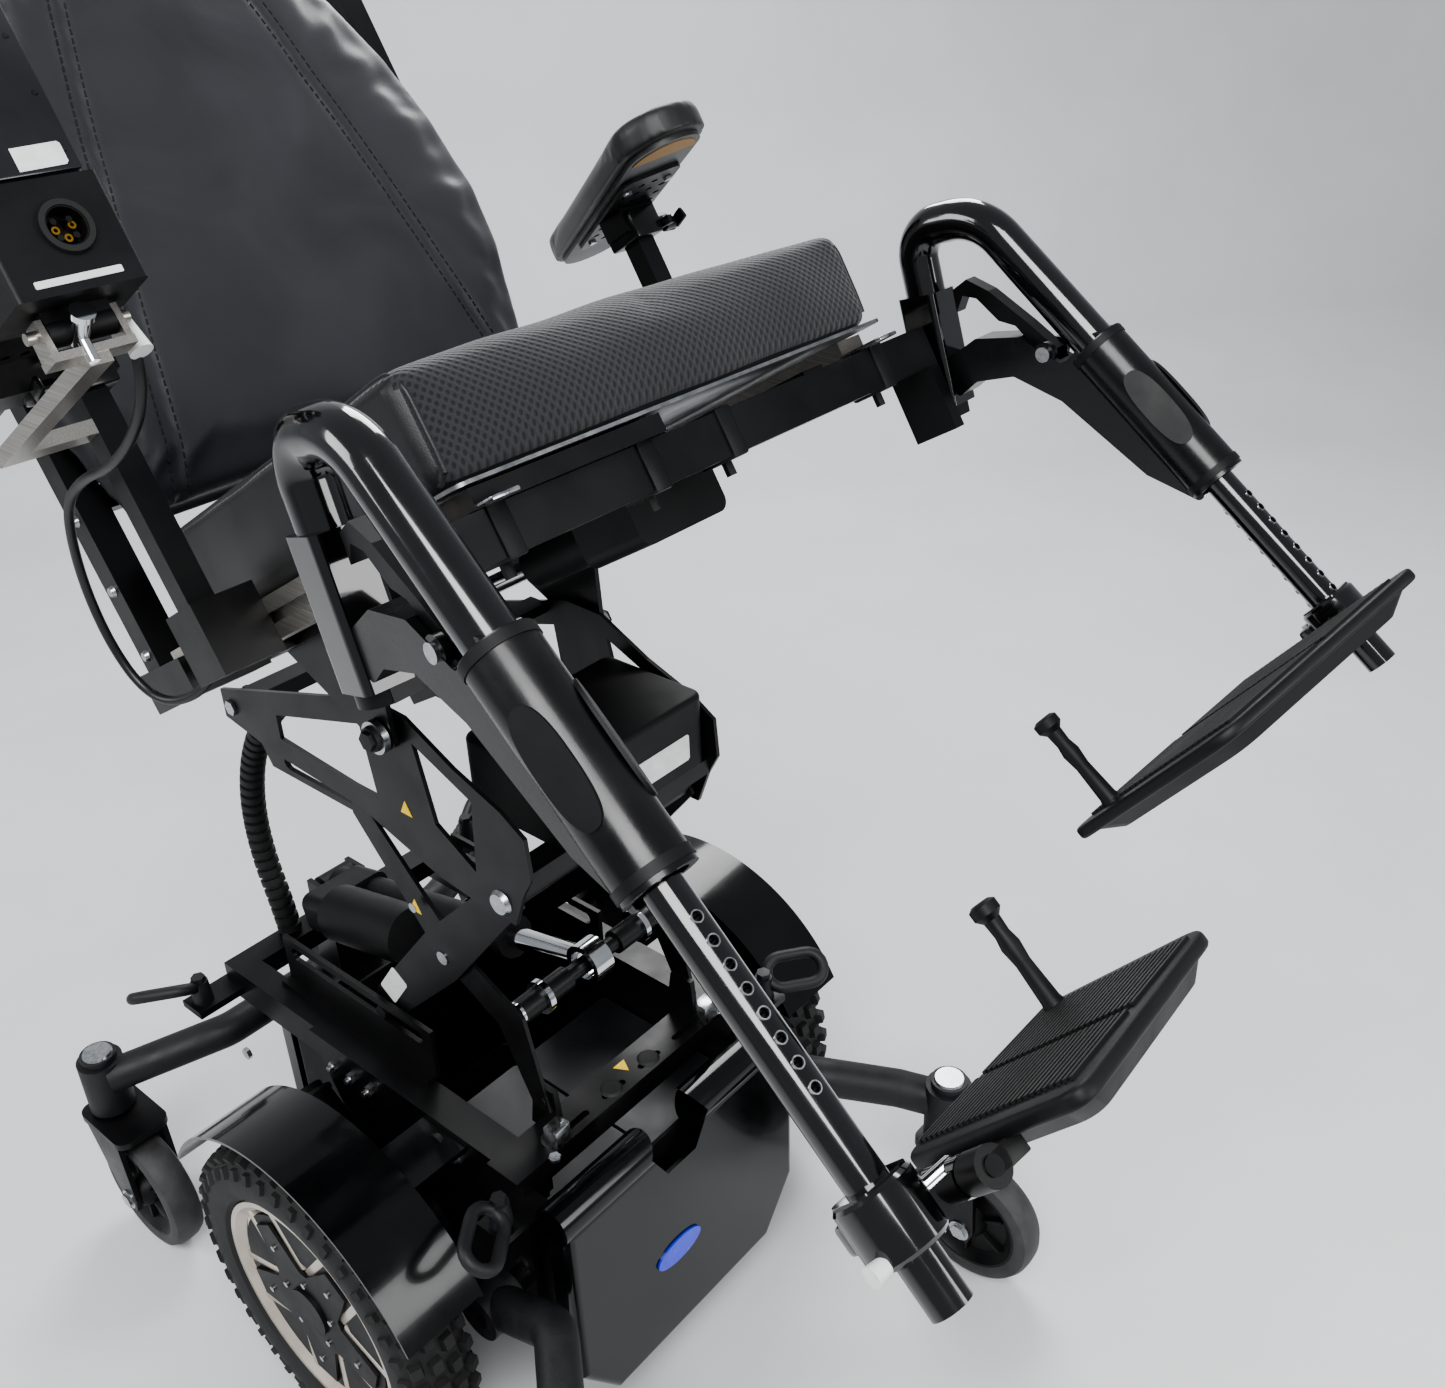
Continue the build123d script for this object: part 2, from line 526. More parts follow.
with BuildPart() as lift_top_frame:
    for side in (-1, 1):
        with BuildSketch(yz_plane(side * FRAME_X)):
            with BuildLine():
                Polyline((-180, 662), (-177, 700), (-152, 716), (-99, 736), (-44, 764), (0, 766), (94, 738),
                         (240, 694), (240, 664), (165, 650), (40, 642), (-60, 612), (LIFT_Y + 15, TOP_Z - 17),
                         (LIFT_Y - 15, TOP_Z - 17), (-168, 640), close=True)
            make_face()
            with BuildLine():
                Polyline((-118, 712), (-50, 742), (-66, 668), (-112, 640), close=True)
            make_face(mode=Mode.SUBTRACT)
            with BuildLine():
                Polyline((20, 735), (150, 697), (150, 672), (10, 662), close=True)
            make_face(mode=Mode.SUBTRACT)
        extrude(amount=2, both=True)
        # pins of the scissor and the tilt pivot
        with BuildSketch(yz_plane(side * FRAME_X)):
            with Locations((LIFT_Y, TOP_Z)):
                Circle(PIN_R)
        extrude(amount=-side * (FRAME_X - OUTER_ARM_X + ARM_T / 2 - GAP))
        with BuildSketch(yz_plane(side * FRAME_X)):
            with Locations((TILT_Y, TILT_Z)):
                Circle(PIN_R + 2)
        extrude(amount=side * 14)
        # slotted rail that the top rollers run in, hung from the rear cross member
        with BuildSketch(yz_plane(side * (INNER_ARM_X - ARM_T / 2 - GAP - 4))):
            with BuildLine():
                Polyline((8, TOP_Z - 15), (212, TOP_Z - 15), (237, TOP_Z + 30), (237, 688), (208, 688),
                         (200, TOP_Z + 17), (8, TOP_Z + 17), close=True)
            make_face()
            with Locations((105, TOP_Z)):
                SlotOverall(168, 2 * PIN_R + 1.2, mode=Mode.SUBTRACT)
        extrude(amount=2.5, both=True)
    for y, z in ((225, 679), (-158, 650)):
        with Locations((0, y, z)):
            Box(2 * FRAME_X, 24, 16)
    with Locations((0, 40, 750)):
        Box(2 * FRAME_X, 22, 10)
    # lever that the tilt actuator pulls on
    for side in (-1, 1):
        with BuildSketch(yz_plane(side * 17)):
            with BuildLine():
                Polyline((28, 746), (52, 746), (TILT_LEVER_Y + 9, TILT_LEVER_Z + 6), (TILT_LEVER_Y - 4, TILT_LEVER_Z + 10),
                         (TILT_LEVER_Y - 9, TILT_LEVER_Z - 4), close=True)
            make_face()
        extrude(amount=2.5, both=True)
    with Locations((0, TILT_LEVER_Y, TILT_LEVER_Z)):
        Cylinder(TILT_PIN_R, 34, rotation=(0, 90, 0))
save(lift_top_frame, "lift_top_frame")

with BuildPart() as power_module:
    with Locations((20, -112, 694)):
        Box(180, 118, 70)
    fillet(power_module.edges().filter_by(Axis.Z), 12)
    fillet(power_module.faces().sort_by(Axis.Z)[-1].edges(), 5)
    with Locations((20, -112, 730)):
        Cylinder(13, 5)
save(power_module, "power_module")

# lift actuator: motor and tube on the rear pivot, rod with an open eye round the knee shaft
STROKE_DY = KNEE_Y - ACTUATOR_Y
STROKE_DZ = KNEE_Z - ACTUATOR_Z
STROKE = hypot(STROKE_DY, STROKE_DZ)
PUSH = (0, STROKE_DY / STROKE, STROKE_DZ / STROKE)
ACTUATOR = Plane(origin=(0, ACTUATOR_Y, ACTUATOR_Z), x_dir=(1, 0, 0), z_dir=PUSH)

with BuildPart() as lift_actuator:
    with BuildSketch(ACTUATOR.offset(10)):
        Circle(19)
    extrude(amount=290)
    with BuildSketch(ACTUATOR.offset(300)):
        Circle(22)
    extrude(amount=14)
    with BuildSketch(yz_plane(0)):
        with Locations((ACTUATOR_Y, ACTUATOR_Z)):
            Circle(16)
            Circle(8 + FIT, mode=Mode.SUBTRACT)
    extrude(amount=20, both=True)
    with BuildSketch(ACTUATOR.offset(34)):
        with Locations((-24, 0)):
            RectangleRounded(84, 46, 12)
    extrude(amount=44)
    with BuildSketch(ACTUATOR.offset(78)):
        with Locations((-46, 2)):
            Circle(31)
    extrude(amount=128)
    with BuildSketch(ACTUATOR.offset(60)):
        Circle(11 + FIT)
    extrude(amount=260, mode=Mode.SUBTRACT)
save(lift_actuator, "lift_actuator")

with BuildPart() as lift_rod:
    with BuildSketch(ACTUATOR.offset(150)):
        Circle(11)
    extrude(amount=STROKE - 150 - 14)
    with BuildSketch(yz_plane(0)):
        with Locations((KNEE_Y, KNEE_Z)):
            Circle(KNEE_R + KNEE_SLACK + 6)
    extrude(amount=11, both=True)
    with BuildSketch(yz_plane(0)):
        with Locations((KNEE_Y, KNEE_Z)):
            Circle(KNEE_R + KNEE_SLACK)
    extrude(amount=30, both=True, mode=Mode.SUBTRACT)
save(lift_rod, "lift_rod")

# ---------------------------------------------------------------- seat
# The pieces below are drawn level, in the seat's own frame: +X to the left, +Y to the rear and
# Z = 0 under the cushion, with Y = 0 at its front edge. SEAT puts them on the chair.

PIVOT_Y, PIVOT_Z = seat_yz(TILT_Y, TILT_Z)


def leg_plane(side):
    """The leaning swing post of one leg rest, in the seat frame: Z runs up the post."""
    lean = radians(POST_LEAN)
    return Plane(origin=(side * LEG_X, 3, 18), x_dir=(1, 0, 0), z_dir=(0, -sin(lean), cos(lean)))


with BuildPart() as seat_frame:
    with Locations((0, 21, -34)):
        Box(2 * 262, CROSS_TUBE, CROSS_TUBE)
    with Locations((-125, 18, -11)):
        Box(166, 40, 13)
    for y in (370, BACK_PIVOT_Y + 2):
        with Locations((0, y, -26)):
            Box(2 * (SIDE_RAIL_X - SIDE_RAIL / 2), 28, 24)
    for side in (-1, 1):
        with BuildSketch(yz_plane(side * TILT_PLATE_X)):
            with BuildLine():
                Polyline((300, -34), (450, -34), (PIVOT_Y + 20, PIVOT_Z + 4), (PIVOT_Y + 10, PIVOT_Z - 16),
                         (PIVOT_Y - 12, PIVOT_Z - 14), (PIVOT_Y - 20, PIVOT_Z + 6), close=True)
            make_face()
            with Locations((PIVOT_Y, PIVOT_Z)):
                Circle(PIN_R + 2 + FIT, mode=Mode.SUBTRACT)
        extrude(amount=2.5, both=True)
        with Locations((side * TILT_PLATE_X, 375, -30)):
            Box(24, 150, 12)
        # long members under the pan
        with Locations((side * 150, BACK_PIVOT_Y / 2 + 20, -26)):
            Box(24, BACK_PIVOT_Y - 8, 24)
        # swing-post receiver with its pin
        with Locations((side * 268, 26, -61)):
            Box(12, 42, 86)
        lug = leg_plane(side)
        with BuildSketch(lug.offset(-POST_LENGTH - GAP - 9)):
            with Locations((-side * 14, 0)):
                Rectangle(38, 32)
            Circle(16)
        extrude(amount=9)
        with BuildSketch(lug.offset(-POST_LENGTH - GAP - 2)):
            Circle(8)
        extrude(amount=30)
        # recline bracket
        with BuildSketch(yz_plane(side * (CANE_X + CANE / 2 + GAP + 3))):
            with BuildLine():
                Polyline((372, -42), (BACK_PIVOT_Y + 16, -42), (BACK_PIVOT_Y + 16, BACK_PIVOT_Z + 14), (372, -10),
                         close=True)
            make_face()
        extrude(amount=3, both=True)
        with Locations((side * (CANE_X + CANE / 2 + GAP + 6 + 180) / 2, 391, -40)):
            Box(CANE_X + CANE / 2 + GAP + 6 - 180, 38, 4)
        with BuildSketch(yz_plane(side * (CANE_X + CANE / 2 + GAP + 3))):
            with Locations((BACK_PIVOT_Y, BACK_PIVOT_Z)):
                Circle(6)
        extrude(amount=-side * 24)
        # arm post receiver
        with Locations((side * (SIDE_RAIL_X + SIDE_RAIL / 2 + 24), ARM_POST_Y, -14)):
            Box(48, 44, 52)
        with Locations((side * ARM_POST_X, ARM_POST_Y, 0)):
            Box(ARM_POST + 0.4, ARM_POST + 0.4, 200, mode=Mode.SUBTRACT)
save(seat_frame, "seat_frame", SEAT)

with BuildPart() as side_rails:
    for side in (-1, 1):
        with Locations((side * SIDE_RAIL_X, (SIDE_RAIL_FRONT + SIDE_RAIL_REAR) / 2, -PAN_T - SIDE_RAIL / 2)):
            Box(SIDE_RAIL, SIDE_RAIL_REAR - SIDE_RAIL_FRONT, SIDE_RAIL)
        with Locations((side * (SIDE_RAIL_X + SIDE_RAIL / 2), SIDE_RAIL_REAR / 2, -PAN_T - SIDE_RAIL / 2)):
            Box(10, 2 * SIDE_RAIL_REAR, 8, mode=Mode.SUBTRACT)
save(side_rails, "side_rails", SEAT)

with BuildPart() as seat_pan:
    with Locations((0, SEAT_DEPTH / 2 + 6, -PAN_T / 2)):
        Box(2 * SEAT_HALF - 16, SEAT_DEPTH + 24, PAN_T)
    fillet(seat_pan.edges().filter_by(Axis.Z), 12)
save(seat_pan, "seat_pan", SEAT)

with BuildPart() as cushion:
    with Locations((0, SEAT_DEPTH / 2, CUSHION_T / 2 + SOFT_GAP)):
        Box(2 * SEAT_HALF, SEAT_DEPTH, CUSHION_T)
    fillet(cushion.edges().filter_by(Axis.Z), 22)
    fillet(cushion.faces().sort_by(Axis.Z)[-1].edges(), 12)
save(cushion, "cushion", SEAT)

# tilt actuator: body clamped under the pan, rod pulling on the top frame's lever
LEVER_Y, LEVER_Z = seat_yz(TILT_LEVER_Y, TILT_LEVER_Z)
TILT_ROD_Z = LEVER_Z - 2.5

with BuildPart() as tilt_actuator:
    with BuildSketch(Plane(origin=(0, 62, TILT_ROD_Z), x_dir=(1, 0, 0), z_dir=(0, 1, 0))):
        RectangleRounded(92, 44, 10)
    extrude(amount=66)
    with BuildSketch(Plane(origin=(0, 128, TILT_ROD_Z), x_dir=(1, 0, 0), z_dir=(0, 1, 0))):
        Circle(19)
    extrude(amount=112)
    with BuildSketch(Plane(origin=(0, 90, TILT_ROD_Z), x_dir=(1, 0, 0), z_dir=(0, 1, 0))):
        Circle(8 + FIT)
    extrude(amount=200, mode=Mode.SUBTRACT)
    with Locations((0, 95, (TILT_ROD_Z + 20 - PAN_T - GAP) / 2)):
        Box(60, 40, -PAN_T - GAP - TILT_ROD_Z - 20)
save(tilt_actuator, "tilt_actuator", SEAT)

with BuildPart() as tilt_rod:
    with BuildSketch(Plane(origin=(0, 140, TILT_ROD_Z), x_dir=(1, 0, 0), z_dir=(0, 1, 0))):
        Circle(8)
    extrude(amount=LEVER_Y - 140 - TILT_PIN_R - TILT_SLACK)
    with BuildSketch(yz_plane(0)):
        with Locations((LEVER_Y, TILT_ROD_Z)):
            Circle(TILT_PIN_R + TILT_SLACK + 5)
    extrude(amount=9, both=True)
    with BuildSketch(yz_plane(0)):
        with Locations((LEVER_Y, TILT_ROD_Z)):
            Circle(TILT_PIN_R + TILT_SLACK)
    extrude(amount=20, both=True, mode=Mode.SUBTRACT)
save(tilt_rod, "tilt_rod", SEAT)

# ---------------------------------------------------------------- back

BACK_PAN_Y = BACK_PIVOT_Y - CANE / 2 - BACK_PAN_T
BACK_OUTLINE = [(-205, BACK_BOTTOM), (205, BACK_BOTTOM), (252, 260), (224, 410), (120, BACK_TOP), (-120, BACK_TOP),
                (-224, 410), (-252, 260)]

with BuildPart() as back_frame:
    for side in (-1, 1):
        with Locations((side * CANE_X, BACK_PIVOT_Y, (CANE_TOP - 40) / 2)):
            Box(CANE, CANE, CANE_TOP + 40)
        with BuildSketch(yz_plane(side * CANE_X)):
            with Locations((BACK_PIVOT_Y, BACK_PIVOT_Z)):
                Circle(6 + FIT)
        extrude(amount=30, both=True, mode=Mode.SUBTRACT)
    for z in (130, CANE_TOP - 60):
        with Locations((0, BACK_PIVOT_Y, z)):
            Box(2 * CANE_X, CANE - 5, CANE - 5)
    # shell plate that carries the cushion
    with BuildSketch(Plane.XZ.offset(-BACK_PAN_Y)) as pan_outline:
        with BuildLine():
            Polyline(*BACK_OUTLINE, close=True)
        make_face()
        fillet(pan_outline.vertices(), 38)
        offset(amount=-14)
    extrude(amount=-BACK_PAN_T)
save(back_frame, "back_frame", SEAT)

with BuildPart() as back_cushion:
    with BuildSketch(Plane.XZ.offset(-BACK_PAN_Y + SOFT_GAP)) as cushion_outline:
        with BuildLine():
            Polyline(*BACK_OUTLINE, close=True)
        make_face()
        fillet(cushion_outline.vertices(), 38)
    extrude(amount=BACK_T)
    fillet(back_cushion.faces().sort_by(Axis.Y)[0].edges(), 12)
save(back_cushion, "back_cushion", SEAT)

# ---------------------------------------------------------------- armrests

for name, side in SIDES.items():
    toe = LEFT_PAD_TOE if side > 0 else RIGHT_PAD_TOE
    pad_x = ARM_POST_X + (0 if side > 0 else 44)
    pad_y = ARM_POST_Y + (-4 if side > 0 else 46)
    pad_place = SEAT * Location((side * pad_x, pad_y, 0), (0, 0, side * -toe))
    with BuildPart() as arm_post:
        with Locations((side * ARM_POST_X, ARM_POST_Y, (ARM_PAD_Z - 40) / 2 - 3)):
            Box(ARM_POST, ARM_POST, ARM_PAD_Z + 34)
        with Locations((side * (ARM_POST_X + pad_x) / 2, ARM_POST_Y, ARM_PAD_Z - 14)):
            Box(44 + abs(pad_x - ARM_POST_X), 30, 20)
        with BuildSketch(Plane(origin=(side * pad_x, pad_y, ARM_PAD_Z - 4)).rotated((0, 0, -side * toe))):
            RectangleRounded(56, 190, 10)
            with GridLocations(13, 21, 4, 8):
                Circle(3.2, mode=Mode.SUBTRACT)
        extrude(amount=4)
        # clamp screw of the height setting
        with Locations((side * (ARM_POST_X + 26), ARM_POST_Y - 8, ARM_PAD_Z - 22)):
            Cylinder(7, 18, rotation=(0, 90, 0))
    save(arm_post, f"arm_post_{name}", SEAT)

    with BuildPart() as arm_pad:
        with BuildSketch(Plane.XY.offset(ARM_PAD_Z)):
            SlotOverall(ARM_PAD_L, ARM_PAD_W, rotation=90)
        extrude(amount=ARM_BOARD_T + ARM_PAD_T)
        fillet(arm_pad.faces().sort_by(Axis.Z)[-1].edges(), 9)
    save(arm_pad, f"arm_pad_{name}", pad_place)

# ---------------------------------------------------------------- leg rests
# Each leg rest is drawn in the frame of its swing post: Z runs up the post, -Y is forwards.

LEG = radians(LEG_ANGLE)
DOWN = Vector(0, -sin(LEG), -cos(LEG))
COLLAR = Vector(0, -COLLAR_F, COLLAR_H)
BEND_H = 38.0
BEND = COLLAR - DOWN * ((BEND_H - COLLAR_H) / cos(LEG))
HANGER_END = COLLAR + DOWN * 118
LEVER_PIVOT = (-104.0, -74.0)


def down_plane(distance):
    """A plane square to the telescopic tube, at a distance below the collar."""
    return Plane(origin=COLLAR + DOWN * distance, x_dir=(1, 0, 0), z_dir=DOWN)


for name, side in SIDES.items():
    swing = LEFT_SWING if side > 0 else -RIGHT_SWING
    tube_end = LEFT_TUBE_END if side > 0 else RIGHT_TUBE_END
    leg_place = SEAT * leg_plane(side).location * Location((0, 0, 0), (0, 0, swing))

    with BuildPart() as hanger:
        with BuildLine() as bend_path:
            FilletPolyline((0, 0, -POST_LENGTH + 8), (0, 0, BEND_H), BEND, HANGER_END, radius=(26, 52))
        with BuildSketch(Plane(origin=bend_path.line @ 0, z_dir=bend_path.line % 0)):
            Circle(BEND_TUBE_R)
        sweep()
        with Locations((0, 0, -POST_LENGTH + 46)):
            Box(35, 35, 92)
        fillet(hanger.edges().filter_by(Axis.Z), 5)
        with BuildSketch(down_plane(118)):
            Circle(LEG_TUBE_R + FIT)
        extrude(amount=-190, mode=Mode.SUBTRACT)
        with BuildSketch(Plane.XY.offset(-POST_LENGTH)):
            Circle(8 + FIT)
        extrude(amount=32, mode=Mode.SUBTRACT)
    save(hanger, f"hanger_{name}", leg_place)

    with BuildPart() as shroud:
        with BuildSketch(Plane.YZ):
            with BuildLine():
                Polyline((-18, -100), (-18, -66), (-46, -54), (-84, -58), (-118, -84), (-150, -62), (-226, -176),
                         (-212, -200), (-172, -176), (-112, -112), (-74, -88), (-40, -88), close=True)
            make_face()
        extrude(amount=13, both=True)
        fillet(shroud.edges().filter_by(Axis.X), 4)
        with BuildSketch(down_plane(-4)):
            Circle(BEND_TUBE_R + 5.5)
        extrude(amount=SHROUD_LENGTH + 4)
        # ears of the release lever
        for ear in (-1, 1):
            with BuildSketch(yz_plane(ear * 10)):
                with Locations(LEVER_PIVOT):
                    Circle(9)
                with Locations((LEVER_PIVOT[0] + 2, LEVER_PIVOT[1] - 10)):
                    Rectangle(18, 20)
            extrude(amount=2.5, both=True)
        with BuildSketch(Plane.YZ):
            with Locations(LEVER_PIVOT, (LEVER_PIVOT[0] + 8, LEVER_PIVOT[1] + 12)):
                Circle(12)
        extrude(amount=7.5, both=True, mode=Mode.SUBTRACT)
        with BuildSketch(Plane.YZ):
            with Locations(LEVER_PIVOT):
                Circle(4)
        extrude(amount=10, both=True)
        with BuildSketch(down_plane(-40)):
            Circle(BEND_TUBE_R + FIT)
        extrude(amount=SHROUD_LENGTH + 80, mode=Mode.SUBTRACT)
    save(shroud, f"shroud_{name}", leg_place)

    with BuildPart() as release_lever:
        with BuildSketch(Plane.YZ):
            with BuildLine():
                Polyline((LEVER_PIVOT[0] - 8, LEVER_PIVOT[1] + 2), (LEVER_PIVOT[0] + 3, LEVER_PIVOT[1] - 8),
                         (LEVER_PIVOT[0] + 10, LEVER_PIVOT[1] + 4), (-80, -50), (-66, -44), (-50, -24), (-38, -20),
                         (-30, -32), (-30, -14), (-44, -8), (-62, -20), (-76, -34), (-92, -50), close=True)
            make_face()
            with Locations(LEVER_PIVOT):
                Circle(4 + FIT, mode=Mode.SUBTRACT)
        extrude(amount=6.5, both=True)
    save(release_lever, f"release_lever_{name}", leg_place)

    with BuildPart() as leg_tube:
        with BuildSketch(down_plane(-30)):
            Circle(LEG_TUBE_R)
        extrude(amount=tube_end + 30)
        with BuildSketch(down_plane(tube_end - 62)):
            RectangleRounded(32, 32, 7)
        extrude(amount=34)
        # hinge lug of the footplate, on the inner side
        with BuildSketch(down_plane(tube_end - 45)):
            with Locations((-side * 25, 0)):
                Rectangle(22, 30)
        extrude(amount=14)
        hinge = down_plane(tube_end - 38)
        hinge_x = -side * 38
        for z in range(8):
            pin_hole = down_plane(SHROUD_LENGTH + 22 + 13 * z)
            with BuildSketch(Plane(origin=pin_hole.origin, x_dir=(1, 0, 0), z_dir=pin_hole.y_dir)):
                Circle(2.8)
            extrude(amount=LEG_TUBE_R + 2, both=True, mode=Mode.SUBTRACT)
        hinge_axis = Plane(origin=hinge.origin + Vector(hinge_x, 0, 0), x_dir=(1, 0, 0), z_dir=hinge.y_dir)
        with BuildSketch(hinge_axis):
            Circle(10)
        extrude(amount=15, both=True)
        with BuildSketch(hinge_axis):
            Circle(5)
        extrude(amount=34, both=True)
    save(leg_tube, f"leg_tube_{name}", leg_place)

    with BuildPart() as footplate:
        board = Plane(origin=hinge_axis.origin, x_dir=(-side, 0, 0), z_dir=-DOWN)
        board = board if board.y_dir.Y < 0 else Plane(origin=hinge_axis.origin, x_dir=(-side, 0, 0), z_dir=DOWN)
        top = 1 if board.z_dir.Z > 0 else -1
        slant = FOOT_W * tan(radians(FOOT_TOE))
        with BuildSketch(board.offset(top * 4)) as board_outline:
            with BuildLine():
                Polyline((13, -34 - 20), (13, FOOT_D - 54), (FOOT_W, FOOT_D - 54 - slant), (FOOT_W, -54 - slant),
                         close=True)
            make_face()
            fillet(board_outline.vertices(), 16)
        extrude(amount=top * FOOT_T)
        with BuildSketch(board.offset(top * -6)) as board_web:
            with BuildLine():
                Polyline((13, -34 - 20), (13, FOOT_D - 54), (FOOT_W, FOOT_D - 54 - slant), (FOOT_W, -54 - slant),
                         close=True)
            make_face()
            fillet(board_web.vertices(), 16)
            offset(amount=-5, mode=Mode.SUBTRACT)
        extrude(amount=top * 10)
        for y in (-24.5, 24.5):
            knuckle = Plane(origin=hinge_axis.origin + hinge_axis.z_dir * y, x_dir=(1, 0, 0), z_dir=hinge_axis.z_dir)
            with BuildSketch(knuckle):
                Circle(10)
                with Locations((-side * 12, 0)):
                    Rectangle(20, 12)
                Circle(5 + FIT, mode=Mode.SUBTRACT)
            extrude(amount=8.5, both=True)
        with BuildSketch(board.offset(top * 8)):
            with Locations((FOOT_W - 22, -20 - slant)):
                Circle(5.5)
        extrude(amount=top * 70)
        with BuildSketch(board.offset(top * 70)):
            with Locations((FOOT_W - 22, -20 - slant)):
                Circle(9)
        extrude(amount=top * 10)
    save(footplate, f"footplate_{name}", leg_place)

# ---------------------------------------------------------------- hand control

REMOTE_PIVOT_Y = 85.0
REMOTE_PIVOT_Z = REMOTE_BOTTOM - 10
BAR_Z = REMOTE_PIVOT_Z - 19

with BuildPart() as remote_bracket:
    with Locations((REMOTE_X, (78 + ARM_POST_Y + 10) / 2, BAR_Z)):
        Box(14, ARM_POST_Y + 10 - 78, 10)
    with Locations(((REMOTE_X - 7 - ARM_POST_X - ARM_POST / 2) / 2, ARM_POST_Y, BAR_Z)):
        Box(-REMOTE_X - ARM_POST_X - ARM_POST / 2 + 7, 20, 10)
    with Locations((REMOTE_X, 86, BAR_Z + 4)):
        Box(49, 18, 5)
    for ear in (-1, 1):
        with BuildSketch(yz_plane(REMOTE_X + ear * 22)):
            with BuildLine():
                Polyline((77, BAR_Z + 2), (95, BAR_Z + 2), (93, REMOTE_PIVOT_Z + 7), (79, REMOTE_PIVOT_Z + 7), close=True)
            make_face()
        extrude(amount=2, both=True)
    with Locations((REMOTE_X, REMOTE_PIVOT_Y, REMOTE_PIVOT_Z)):
        Cylinder(3.5, 60, rotation=(0, 90, 0))
save(remote_bracket, "remote_bracket", SEAT)

with BuildPart() as remote_housing:
    with Locations((REMOTE_X, REMOTE_Y + REMOTE_T / 2, REMOTE_BOTTOM + REMOTE_H / 2)):
        Box(REMOTE_W - 8, REMOTE_T, REMOTE_H)
    with Locations((REMOTE_X, REMOTE_Y - 6 + (REMOTE_T + 6) / 2, REMOTE_BOTTOM + 31)):
        Box(REMOTE_W, REMOTE_T + 6, 62)
    fillet(remote_housing.edges().filter_by(Axis.Z), 3.5)
    # lug of the flip-up pivot
    with BuildSketch(yz_plane(REMOTE_X)):
        with Locations((REMOTE_PIVOT_Y, REMOTE_PIVOT_Z)):
            Circle(8)
        with Locations((REMOTE_PIVOT_Y, REMOTE_PIVOT_Z + 7)):
            Rectangle(14, 14)
        with Locations((REMOTE_PIVOT_Y, REMOTE_PIVOT_Z)):
            Circle(3.5 + FIT, mode=Mode.SUBTRACT)
    extrude(amount=19.5, both=True)
    # charger socket with four contacts
    with BuildSketch(Plane(origin=(REMOTE_X + 6, REMOTE_Y - 6, REMOTE_BOTTOM + 34), x_dir=(1, 0, 0), z_dir=(0, -1, 0))):
        Circle(15)
    extrude(amount=2.5)
    with BuildSketch(Plane(origin=(REMOTE_X + 6, REMOTE_Y - 8.5, REMOTE_BOTTOM + 34), x_dir=(1, 0, 0), z_dir=(0, 1, 0))):
        Circle(10.5)
    extrude(amount=12, mode=Mode.SUBTRACT)
    with BuildSketch(Plane(origin=(REMOTE_X + 6, REMOTE_Y + 4, REMOTE_BOTTOM + 34), x_dir=(1, 0, 0), z_dir=(0, -1, 0))):
        with GridLocations(9, 9, 2, 2):
            Circle(1.8)
    extrude(amount=9)
    # seat of the power button
    with BuildSketch(Plane(origin=(REMOTE_X, REMOTE_Y + REMOTE_T, REMOTE_BOTTOM + 62), x_dir=(1, 0, 0), z_dir=(0, -1, 0))):
        Circle(8)
    extrude(amount=8, mode=Mode.SUBTRACT)
save(remote_housing, "remote_housing", SEAT)

STICK_Z = REMOTE_BOTTOM + 122
STICK_Y = REMOTE_Y + REMOTE_T + 8

with BuildPart() as joystick:
    with Locations((REMOTE_X, STICK_Y, STICK_Z)):
        Sphere(7.6)
    with Locations((REMOTE_X, STICK_Y + 18, STICK_Z)):
        Cylinder(4, 36, rotation=(90, 0, 0))
    with BuildSketch(Plane(origin=(REMOTE_X, STICK_Y + 22, STICK_Z), x_dir=(1, 0, 0), z_dir=(0, 1, 0))):
        Circle(9)
    extrude(amount=24, taper=-8)
    fillet(joystick.faces().sort_by(Axis.Y)[-1].edges(), 6)
save(joystick, "joystick", SEAT)

with BuildPart() as power_button:
    with BuildSketch(Plane(origin=(REMOTE_X, REMOTE_Y + REMOTE_T - 5, REMOTE_BOTTOM + 62), x_dir=(1, 0, 0), z_dir=(0, 1, 0))):
        Circle(7.6)
    extrude(amount=8)
    fillet(power_button.faces().sort_by(Axis.Y)[-1].edges(), 1)
save(power_button, "power_button", SEAT)

# ---------------------------------------------------------------- cables

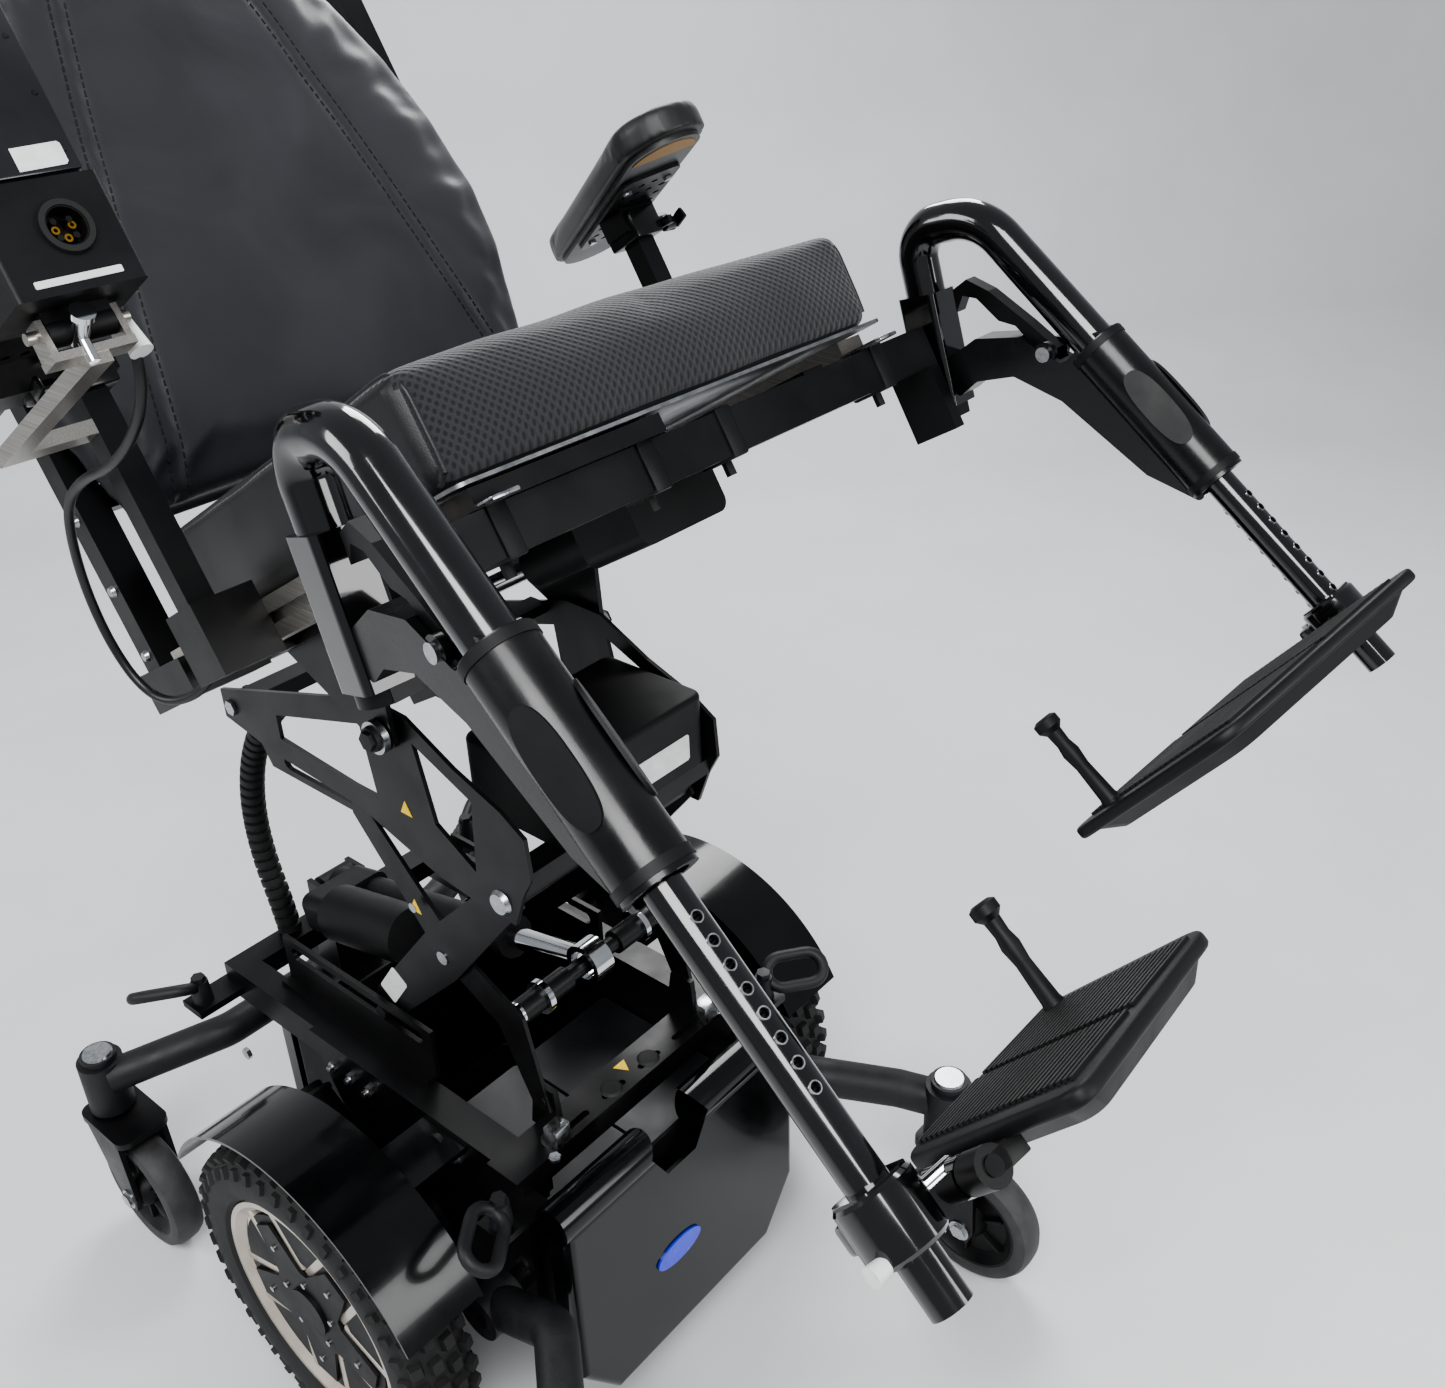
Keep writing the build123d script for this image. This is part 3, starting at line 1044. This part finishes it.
def corner_radii(points):
    """The largest soft arc for each corner of a cable's route: 0.45 of the shorter run beside it."""
    radii = []
    for before, corner, after in zip(points, points[1:], points[2:]):
        run_in = Vector(*corner) - Vector(*before)
        run_out = Vector(*after) - Vector(*corner)
        turn = radians(run_in.get_angle(run_out))
        radii.append(0.45 * min(run_in.length, run_out.length) / tan(turn / 2))
    return radii


def report_cable(name, piece, route, radius, radii):
    """Print a cable's bend radii and compare its volume with its section times its length."""
    length = sum(edge.length for edge in route.edges())
    print(name, "radii", [round(value) for value in radii], "length", round(length),
          "volume ratio", round(piece.part.volume / (length * pi * radius ** 2), 4))


CONTROL_CABLE_R = 3.5
# seat frame: out of the hand control, back along the arm, down beside the cane and on to the side rail
CONTROL_CABLE = [(-303, 91, 169), (-303, 97, 141), (-302, 124, 120), (-301, 162, 110), (-299, 208, 108),
                 (-297, 256, 116), (-294, 304, 114), (-288, 346, 92), (-281, 382, 58), (-275, 402, 18),
                 (-270, 402, -18), (-264, 384, -38), (-255, 352, -42), (-246, 322, -32), (-241, 298, -20)]

with BuildPart() as control_cable:
    with BuildLine() as control_route:
        FilletPolyline(*CONTROL_CABLE, radius=corner_radii(CONTROL_CABLE))
    with BuildSketch(Plane(origin=control_route.line @ 0, z_dir=control_route.line % 0)):
        Circle(CONTROL_CABLE_R)
    sweep()
report_cable("control_cable", control_cable, control_route, CONTROL_CABLE_R, corner_radii(CONTROL_CABLE))
save(control_cable, "control_cable", SEAT)

CONDUIT_R = 13.0
# chair frame: from the rear cross member up behind the lift to the top frame
CONDUIT = [(-70, 298, 346), (-70, 304, 382), (-68, 322, 428), (-65, 330, 484), (-61, 322, 540), (-57, 300, 590),
           (-53, 268, 630), (-50, 235, 661)]

with BuildPart() as cable_conduit:
    with BuildLine() as conduit_route:
        FilletPolyline(*CONDUIT, radius=corner_radii(CONDUIT))
    with BuildSketch(Plane(origin=conduit_route.line @ 0, z_dir=conduit_route.line % 0)):
        Circle(CONDUIT_R)
    sweep()
report_cable("cable_conduit", cable_conduit, conduit_route, CONDUIT_R, corner_radii(CONDUIT))
save(cable_conduit, "cable_conduit")
